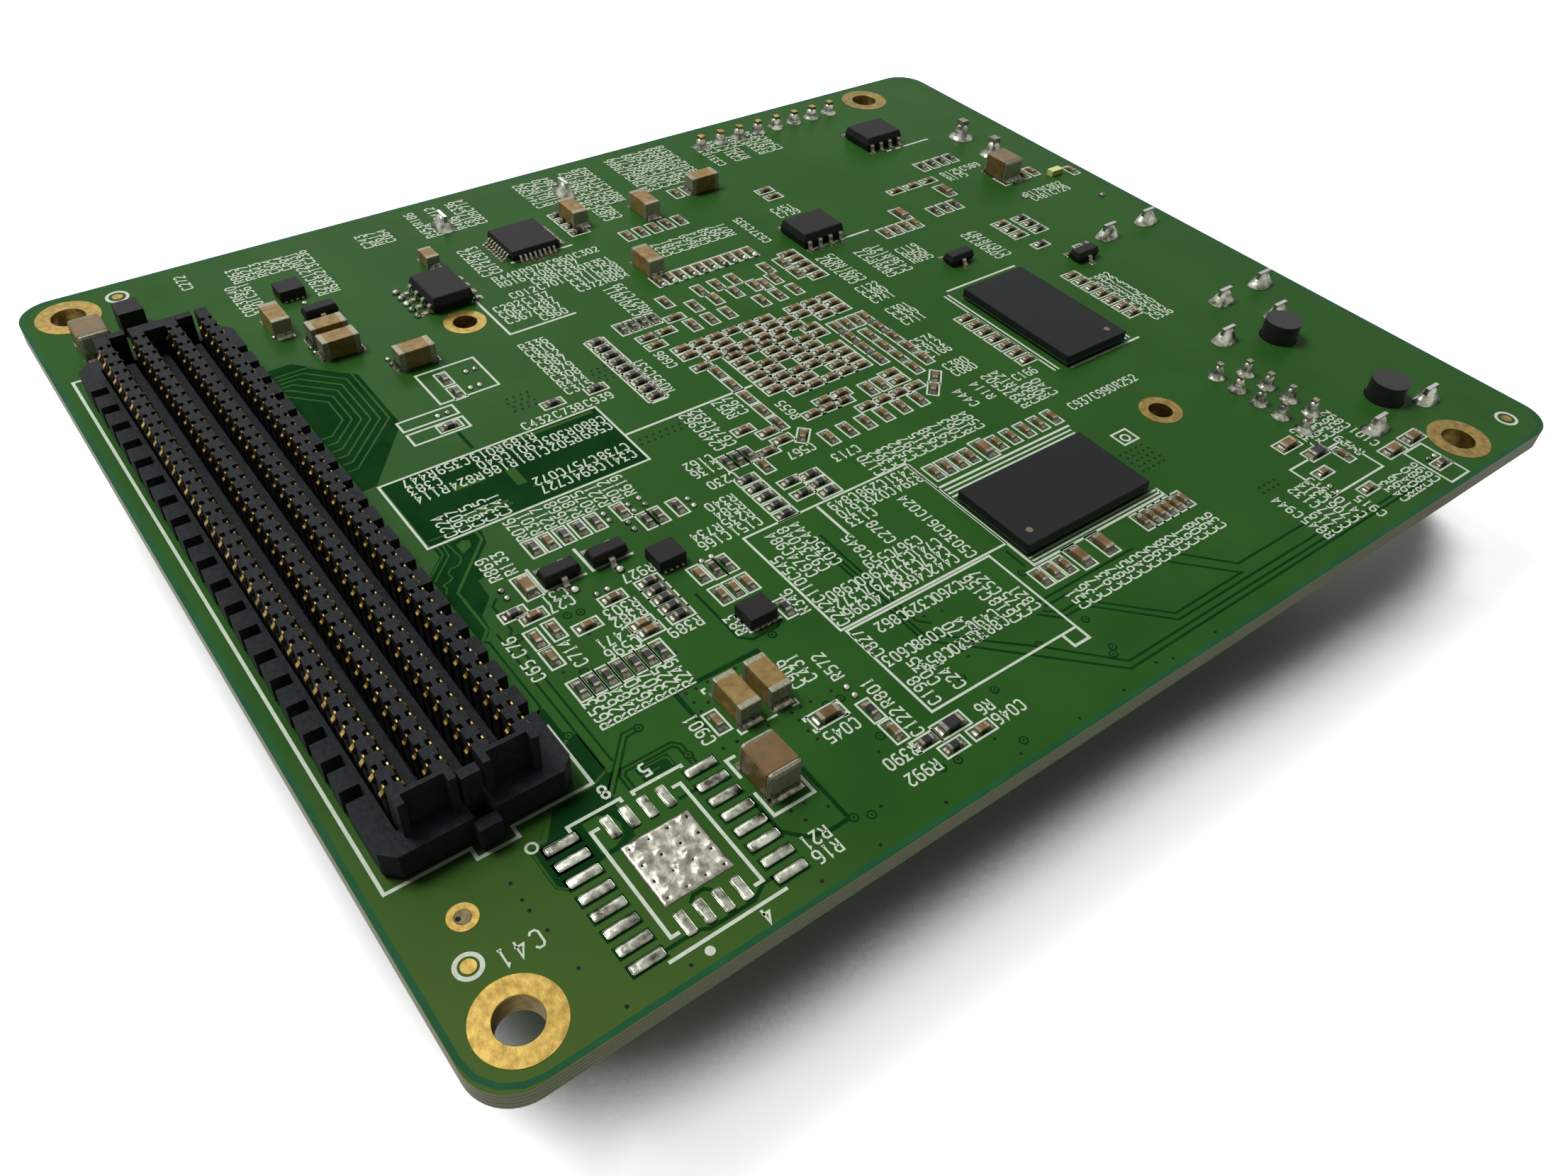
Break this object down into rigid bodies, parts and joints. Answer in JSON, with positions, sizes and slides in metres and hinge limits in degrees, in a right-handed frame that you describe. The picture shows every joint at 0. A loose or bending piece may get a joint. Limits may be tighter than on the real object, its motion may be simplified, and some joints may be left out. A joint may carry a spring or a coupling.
{
  "type": "embedded development board",
  "caption": "Rectangular embedded development board with a long array socket on one face, and a finned processor cooler, network jack, video and USB sockets on the other.",
  "frame": {"origin": "centre of the laminate's outline in X and Y, at the height of the table it lies on: the tips of the heat sink's fins and the bottom of the network jack", "axes": "+X along the longer edge, towards the network jack and the video socket; +Y towards the USB socket and the pin headers; +Z out of the face with the array socket"},
  "size_m": [0.1016, 0.0848, 0.0188],
  "materials": {
    "laminate": "satin solder mask on glass laminate",
    "socket_moulding": "matt",
    "contact_gold": "plated, bright",
    "memory_moulding": "fine matt",
    "chip_moulding": "fine matt",
    "ceramic": "fired, matt",
    "resistor_coat": "glazed",
    "tin_lead": "tinned",
    "shell_plate": "plated sheet",
    "connector_moulding": "matt",
    "sink_aluminium": "black anodised",
    "gap_pad": "soft matt",
    "light_lens": "clear tinted",
    "package_moulding": "matt"
  },
  "bodies": {
    "root": {"array_socket_contacts": "contact_gold", "array_socket_housing": "socket_moulding", "bulk_capacitors": "ceramic", "chip_capacitors": "ceramic", "chip_resistors": "resistor_coat", "circuit_board": "laminate", "diode_block": "chip_moulding", "edge_header_body": "connector_moulding", "edge_header_pins": "contact_gold", "eight_lead_chip_leads": "tin_lead", "eight_lead_chips": "chip_moulding", "heat_sink": "sink_aluminium", "leadless_chips": "chip_moulding", "memory_chip_far": "memory_moulding", "memory_chip_near": "memory_moulding", "network_jack_contacts": "contact_gold", "network_jack_housing": "connector_moulding", "network_jack_pins": "tin_lead", "network_jack_shell": "shell_plate", "power_header_body": "connector_moulding", "power_header_pins": "tin_lead", "processor_package": "package_moulding", "small_transistors": "chip_moulding", "square_chip": "chip_moulding", "square_chip_leads": "tin_lead", "status_light": "light_lens", "thermal_pad": "gap_pad", "transistor_leads": "tin_lead", "usb_socket_insert": "connector_moulding", "usb_socket_shell": "shell_plate", "video_socket_insert": "connector_moulding", "video_socket_shell": "shell_plate"}
  },
  "joints": []
}
